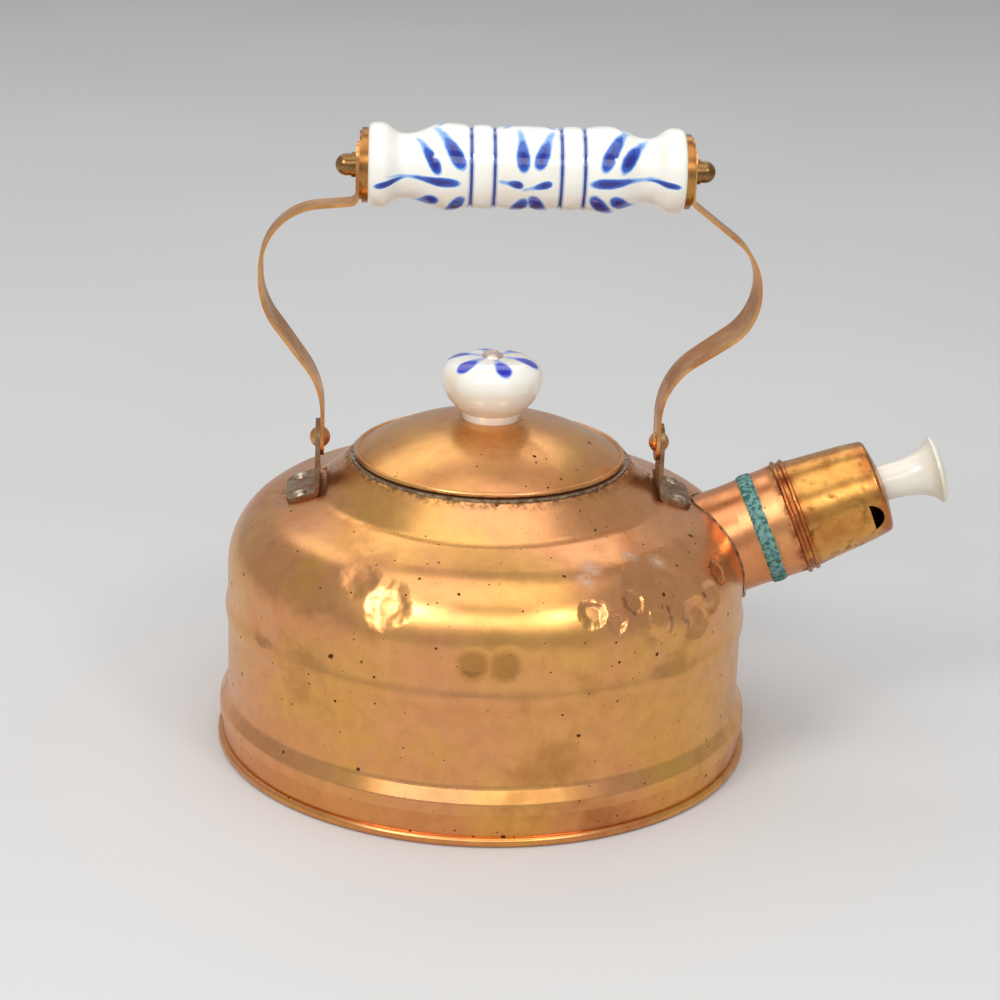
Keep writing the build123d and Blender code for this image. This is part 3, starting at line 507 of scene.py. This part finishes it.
def stroke(finish, surface, tip, end, width):
    """Distance from the middle of a brush stroke, 1 at its edge: pointed at its tip, round at its end."""
    run = Vector((end[0] - tip[0], end[1] - tip[1]))
    node = finish.tree.nodes.new("ShaderNodeMapping")
    node.vector_type = "TEXTURE"
    finish.join(surface, node.inputs["Vector"])
    node.inputs["Location"].default_value = (tip[0] * mm, tip[1] * mm, 0)
    node.inputs["Rotation"].default_value = (0, 0, math.atan2(run.y, run.x))
    node.inputs["Scale"].default_value = (run.length * mm, width / 2 * mm, 1)
    along, across, _ = finish.parts(node.outputs[0])
    signed_square = finish.times(along, finish.math("ABSOLUTE", along))
    belly = finish.math("MULTIPLY_ADD", signed_square, 2.0, -1.0)
    return finish.vector("LENGTH", finish.pack(belly, across))


def painted(finish, strokes, base, deep, body, wash):
    """Lays brush strokes on a glaze: deep in the middle, and washed out at the edge."""
    nearest = strokes[0]
    for other in strokes[1:]:
        nearest = finish.math("MINIMUM", nearest, other)
    flow = finish.math("MULTIPLY_ADD", finish.noise(3.5, 3, 0.6), 0.7, -0.35)
    nearest = finish.total(nearest, finish.times(flow, 0.35))
    colour = finish.mix(finish.fade(nearest, 1.22, 0.98), base, wash)
    colour = finish.mix(finish.fade(nearest, 1.0, 0.84), colour, body)
    return finish.mix(finish.fade(finish.total(nearest, flow), 0.8, 0.35), colour, deep)


# Strokes on the grip: distance from its middle towards the spout and degrees up from the front,
# for the pointed tip and for the round end, and the width. The far side has the same strokes.
grip_strokes = (
    ((-34.7, 54), (-28.7, 1), 3.5),
    ((-28.5, 66), (-21.0, 8), 4.6),
    ((-40.5, -6), (-21.9, -11), 3.0),
    ((-37.5, -6), (-49.6, -18), 2.3),
    ((-36.5, -72), (-29.4, -34), 4.2),
    ((-27.6, -88), (-21.2, -31), 4.4),
    ((-2.6, 65), (-1.5, 6), 4.2),
    ((7.4, 64), (3.0, 10), 4.5),
    ((-7.9, -9), (-1.6, -13), 2.7),
    ((0.3, -17), (7.9, -9), 2.9),
    ((-6.2, -88), (-0.7, -34), 4.4),
    ((7.4, -88), (1.2, -29), 4.6),
    ((32.0, 78), (24.1, 9), 4.2),
    ((37.6, 66), (30.5, 8), 4.2),
    ((38.6, -3), (20.2, -9), 3.4),
    ((37.0, -3), (49.2, -10), 2.2),
    ((29.6, -86), (20.9, -26), 4.8),
    ((36.0, -72), (27.2, -28), 4.3),
)
pattern_top = 80.0


def grip_porcelain():
    """The grip's porcelain, with leaf strokes twice round it and blue in its grooves."""
    wash_reach = (1.3, 0.5)
    blue_reach = (0.55, 0.35)
    finish = Finish("grip_porcelain", 0.0, 0.14)
    base = glaze(finish, glaze_white, tone(236, 230, 216))
    x, y, z = finish.parts(finish.shaken(9, 0.9))
    along = finish.math("SUBTRACT", x, grip_shift * mm)
    up = finish.math("SUBTRACT", z, grip_height * mm)
    turn = finish.math("ARCTAN2", up, finish.times(y, -1.0))
    turn = finish.math("WRAP", turn, math.radians(pattern_top), math.radians(pattern_top - 180))
    surface = finish.pack(along, finish.times(turn, grip_radius * mm))
    strokes = []
    for tip, end, width in grip_strokes:
        tip = (tip[0], math.radians(tip[1]) * grip_radius)
        end = (end[0], math.radians(end[1]) * grip_radius)
        strokes.append(stroke(finish, surface, tip, end, width))
    colour = painted(finish, strokes, base, cobalt_deep, cobalt, cobalt_wash)
    straight_x = finish.parts(finish.place)[0]
    from_middle = finish.math("ABSOLUTE", finish.math("SUBTRACT", straight_x, grip_shift * mm))
    for groove in grip_grooves:
        away = finish.math("ABSOLUTE", finish.math("SUBTRACT", from_middle, groove * mm))
        washed = finish.fade(away, wash_reach[0] * mm, wash_reach[1] * mm)
        colour = finish.lay(colour, groove_wash, washed, 0.75)
        blue = finish.fade(away, blue_reach[0] * mm, blue_reach[1] * mm)
        colour = finish.mix(blue, colour, groove_blue)
    finish.set("Base Color", colour)
    return finish.material


def knob_porcelain():
    """The knob's creamy porcelain, with six cobalt petals that spread from its screw."""
    petals = 6
    petal_turn = 14.0
    petal_start = 6.0
    petal_stop = 16.0
    petal_width = 5.4
    finish = Finish("knob_porcelain", 0.0, 0.16)
    base = glaze(finish, glaze_white, glaze_cream)
    x, y, z = finish.parts(finish.shaken(8, 0.8))
    radius = finish.vector("LENGTH", finish.pack(x, y))
    down = finish.math("SUBTRACT", z, knob_top * mm)
    from_top = finish.vector("LENGTH", finish.pack(x, y, down))
    turn = finish.math("ARCTAN2", x, finish.times(y, -1.0))
    turn = finish.math("SUBTRACT", turn, math.radians(petal_turn))
    half = math.pi / petals
    across = finish.times(finish.math("WRAP", turn, half, -half), radius)
    surface = finish.pack(from_top, across)
    petal = stroke(finish, surface, (petal_start, 0), (petal_stop, 0), petal_width)
    finish.set("Base Color", painted(finish, [petal], base, petal_deep, petal_blue, petal_wash))
    return finish.material


def plain_porcelain(name, white, cream):
    """Unpainted glazed porcelain."""
    finish = Finish(name, 0.0, 0.2)
    finish.set("Base Color", glaze(finish, white, cream))
    return finish.material


lid_copper = sheet_copper("lid_copper", tone(226, 158, 104), tone(230, 170, 98), tone(170, 106, 60))
base_copper = sheet_copper("base_copper", tone(222, 152, 94), tone(228, 166, 88), tone(158, 94, 52))
brass_disc = rubbed_brass("disc_brass", tone(190, 142, 76), tone(160, 104, 58), tone(104, 62, 34), 0.6)
brass_nut = rubbed_brass("nut_brass", tone(176, 140, 84), tone(138, 102, 62), tone(84, 60, 38), 0.7)
seam_tin = tinned_metal("seam_tin", tone(176, 160, 136), tone(112, 92, 70), 0.35)
rivet_tin = tinned_metal("rivet_tin", tone(206, 192, 164), tone(134, 112, 84), 0.25)
plain_steel = tinned_metal("plain_steel", tone(168, 166, 162), tone(118, 114, 108), 0.35)
screw_nickel = tinned_metal("screw_nickel", tone(238, 222, 212), tone(206, 184, 170), 0.3)
solder_line_tin = tinned_metal("seam_solder", tone(150, 118, 88), tone(70, 46, 32), 0.45)
solder_tin = tinned_metal("solder", tone(206, 196, 176), tone(140, 120, 96), 0.28)
spout_finish = spout_copper()
strap_finish = strap_copper()
ear_finish = dull_copper()
verdigris_finish = verdigris()

finishes = {
    "body_shell": body_copper(),
    "base_pan": base_copper,
    "mouth_ring": seam_tin,
    "right_ear": ear_finish,
    "left_ear": ear_finish,
    "right_ear_rivets": rivet_tin,
    "left_ear_rivets": rivet_tin,
    "right_pivot_rivet": strap_finish,
    "left_pivot_rivet": strap_finish,
    "spout_root": spout_finish,
    "spout_seam_ring": verdigris_finish,
    "spout_collar": spout_finish,
    "right_strap": strap_finish,
    "left_strap": strap_finish,
    "grip": grip_porcelain(),
    "right_ferrule": brass_disc,
    "left_ferrule": brass_disc,
    "right_acorn_nut": brass_nut,
    "left_acorn_nut": brass_nut,
    "tie_rod": plain_steel,
    "lid_shell": lid_copper,
    "lid_collar": seam_tin,
    "lid_knob": knob_porcelain(),
    "knob_screw": screw_nickel,
    "knob_washer": plain_steel,
    "knob_nut": plain_steel,
    "whistle_cap": barrel_brass(),
    "whistle_disc_1": brass_disc,
    "whistle_disc_2": brass_disc,
    "whistle_pull": plain_porcelain("pull_porcelain", tone(228, 222, 207), tone(222, 212, 190)),
    "pull_screw": plain_steel,
}
for name, finish in finishes.items():
    for slot in nodes[name].material_slots:
        slot.material = finish


def only(piece):
    """Selects one piece and nothing else."""
    bpy.ops.object.select_all(action="DESELECT")
    piece.select_set(True)
    bpy.context.view_layer.objects.active = piece


def settle(piece, name, finish, body):
    """Names a finished piece, puts its place into its mesh, and fixes its finish and its body."""
    piece.name = name
    piece.data.name = name
    only(piece)
    bpy.ops.object.transform_apply(location=True, rotation=True, scale=True)
    bpy.ops.object.shade_smooth()
    piece.data.materials.clear()
    piece.data.materials.append(finish)
    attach(piece, body)
    return piece


def roughen(piece, grain, depth):
    """Makes a piece's surface uneven by a cloudy pattern, with its grain and depth in millimetres."""
    clouds = bpy.data.textures.new("uneven_surface", "CLOUDS")
    clouds.noise_scale = grain * mm
    push = piece.modifiers.new("uneven", "DISPLACE")
    push.texture = clouds
    push.texture_coords = "LOCAL"
    push.strength = depth * mm
    push.mid_level = 0.5
    only(piece)
    bpy.ops.object.modifier_apply(modifier=push.name)


def verdigris_crust():
    """Uneven green crust round the soldered seam of the spout."""
    crust_half_width = 2.5
    crust_height = 0.55
    seam_radius = 18.75
    bpy.ops.object.select_all(action="DESELECT")
    bpy.ops.mesh.primitive_torus_add(
        major_radius=seam_radius * mm,
        minor_radius=crust_height * mm,
        major_segments=360,
        minor_segments=20,
    )
    crust = bpy.context.object
    crust.scale = (1, 1, crust_half_width / crust_height)
    crust.rotation_euler = spout_turn
    crust.location = (spout_origin + spout_axis * spout_seam_place) * mm
    only(crust)
    bpy.ops.object.transform_apply(location=True, rotation=True, scale=True)
    roughen(crust, 4.5, 0.7)
    roughen(crust, 1.1, 0.5)
    settle(crust, "verdigris_crust", verdigris_finish, "kettle")
    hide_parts("spout_seam_ring")


def solder_line():
    """Thin, uneven line of solder where the spout meets the body."""
    bead_radius = 0.5
    clearance = 0.1
    bpy.ops.object.select_all(action="DESELECT")
    bpy.ops.mesh.primitive_circle_add(
        vertices=160,
        radius=(spout_radius + clearance) * mm,
        fill_type="NOTHING",
    )
    line = bpy.context.object
    line.rotation_euler = spout_turn
    line.location = spout_origin * mm
    press = line.modifiers.new("press", "SHRINKWRAP")
    press.target = nodes["body_shell"]
    press.wrap_method = "PROJECT"
    press.use_project_z = True
    press.use_negative_direction = True
    press.use_positive_direction = False
    only(line)
    bpy.ops.object.modifier_apply(modifier=press.name)
    bpy.ops.object.convert(target="CURVE")
    line = bpy.context.object
    line.data.bevel_depth = bead_radius * mm
    line.data.bevel_resolution = 3
    only(line)
    bpy.ops.object.convert(target="MESH")
    line = bpy.context.object
    roughen(line, 2.2, 0.5)
    settle(line, "solder_line", solder_line_tin, "kettle")


# Drops of solder: a point on the seam, the size, and how far each is flattened
solder_drops = {
    "solder_blob_back": (Vector((75.0, 3.5, 84.9)), 1.7, 0.6),
    "solder_blob_front": (Vector((76.6, -3.6, 84.2)), 1.5, 0.6),
    "solder_blob_side": (Vector((80.4, -12.2, 77.6)), 1.0, 0.7),
}


def solder_blobs():
    """Drops of solder left on the seam between spout and body."""
    spread = (1.15, 0.9)
    for name, (place, size, flat) in solder_drops.items():
        bpy.ops.object.select_all(action="DESELECT")
        bpy.ops.mesh.primitive_ico_sphere_add(subdivisions=4, radius=size * mm, location=place * mm)
        blob = bpy.context.object
        blob.scale = (*spread, flat)
        roughen(blob, size * 1.3, size * 0.5)
        settle(blob, name, solder_tin, "kettle")


def solder_drip():
    """Pale drop that hangs from the underside of the spout's seam."""
    drip_radius = 1.1
    drip_place = -6.9
    drip_turn = 158
    drip_proud = 0.6
    bpy.ops.object.select_all(action="DESELECT")
    bpy.ops.mesh.primitive_uv_sphere_add(segments=32, ring_count=20, radius=drip_radius * mm)
    drip = bpy.context.object
    drip.scale = (0.8, 0.8, 1.5)
    drip.location = on_spout(drip_place, drip_turn, spout_radius + drip_proud)
    roughen(drip, 1.0, 0.3)
    settle(drip, "solder_drip", solder_tin, "kettle")


verdigris_crust()
solder_line()
solder_blobs()
solder_drip()


def pale_floor():
    """Plain pale floor, wide enough to fill the view."""
    bpy.ops.object.select_all(action="DESELECT")
    bpy.ops.mesh.primitive_plane_add(size=12)
    floor = bpy.context.object
    floor.name = "floor"
    finish = Finish("floor_paint", 0.0, 0.75)
    soft = finish.patches(400, 0.3, 0.7, 2, 0.5)
    finish.set("Base Color", finish.mix(soft, tone(205, 204, 202), tone(209, 208, 206)))
    floor.data.materials.append(finish.material)


# Lamps: degrees round from the front, degrees up, distance, width and height, all in metres, and power
lamps = {
    "left_softbox": (-40, 40, 1.3, (0.3, 0.3), 3.8),
    "right_softbox": (34, 38, 1.3, (0.2, 0.2), 2.0),
    "front_strip": (-6, 34, 1.7, (2.4, 0.5), 8.5),
    "top_softbox": (-10, 80, 1.5, (1.7, 1.2), 8.0),
    "back_softbox": (190, 50, 1.7, (1.8, 0.7), 5.0),
}
room_tone = tone(228, 230, 234)
room_strength = 0.6


def lamp(name, turn, rise, distance, size, power):
    """Soft rectangular lamp that faces the kettle."""
    aim = Vector((0, 0, 0.09))
    around, up = math.radians(turn), math.radians(rise)
    away = Vector((math.sin(around) * math.cos(up), -math.cos(around) * math.cos(up), math.sin(up)))
    light = bpy.data.lights.new(name, "AREA")
    light.shape = "RECTANGLE"
    light.size, light.size_y = size
    light.energy = power
    light_object = bpy.data.objects.new(name, light)
    light_object.location = aim + away * distance
    light_object.rotation_euler = away.to_track_quat("Z", "Y").to_euler()
    bpy.context.scene.collection.objects.link(light_object)


def studio():
    """Floor, lamps and the dim light of the room."""
    pale_floor()
    for name, setting in lamps.items():
        lamp(name, *setting)
    world = bpy.data.worlds.new("room")
    world.use_nodes = True
    background = world.node_tree.nodes["Background"]
    background.inputs["Color"].default_value = room_tone
    background.inputs["Strength"].default_value = room_strength
    bpy.context.scene.world = world


def camera():
    """Camera at the photograph's angle: a long lens, a little above the kettle."""
    lens = 90.0
    sensor = 36.0
    place = Vector((-42.1, -803.1, 368.5))
    heading = math.radians(3.29)
    tilt = math.radians(19.4)
    roll = math.radians(1.93)
    view = bpy.data.objects.new("camera", bpy.data.cameras.new("camera"))
    view.data.lens = lens
    view.data.sensor_width = sensor
    turned = Matrix.Rotation(-heading, 4, "Z") @ Matrix.Rotation(math.pi / 2 - tilt, 4, "X")
    view.matrix_world = Matrix.Translation(place * mm) @ turned @ Matrix.Rotation(roll, 4, "Z")
    bpy.context.scene.collection.objects.link(view)
    bpy.context.scene.camera = view


studio()
camera()
bpy.context.scene.view_settings.view_transform = "Standard"
